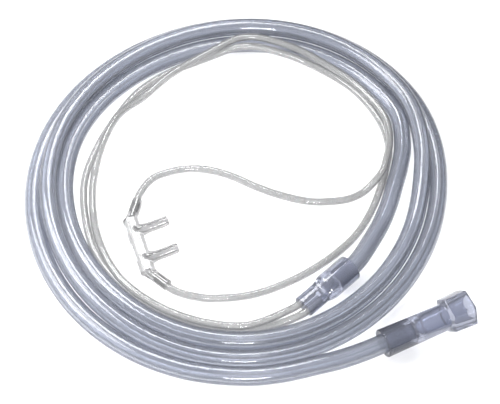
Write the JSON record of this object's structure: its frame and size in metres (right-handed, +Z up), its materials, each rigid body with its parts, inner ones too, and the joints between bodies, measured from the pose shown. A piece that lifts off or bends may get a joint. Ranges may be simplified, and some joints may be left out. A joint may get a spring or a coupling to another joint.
{
  "type": "nasal oxygen cannula",
  "caption": "Clear soft nasal oxygen cannula, coiled: inlet connector, supply tube, Y connector, two lip tubes and nosepiece with two prongs.",
  "frame": {"origin": "on the table, under the middle of the box round the three moulded pieces", "axes": "+X along the inlet connector and out of its mouth; +Z up from the table"},
  "size_m": [0.1717, 0.1729, 0.0132],
  "materials": {
    "supply_tubing": "clear soft PVC, faint blue",
    "lip_tubing": "clear soft PVC",
    "connector_pvc": "clear moulded PVC, slate tint",
    "nosepiece_pvc": "clear soft moulded PVC"
  },
  "bodies": {
    "root": {"inlet_connector": "connector_pvc", "y_connector": "connector_pvc", "nosepiece": "nosepiece_pvc", "supply_tube": "supply_tubing", "lip_tube_left": "lip_tubing", "lip_tube_right": "lip_tubing"}
  },
  "joints": []
}
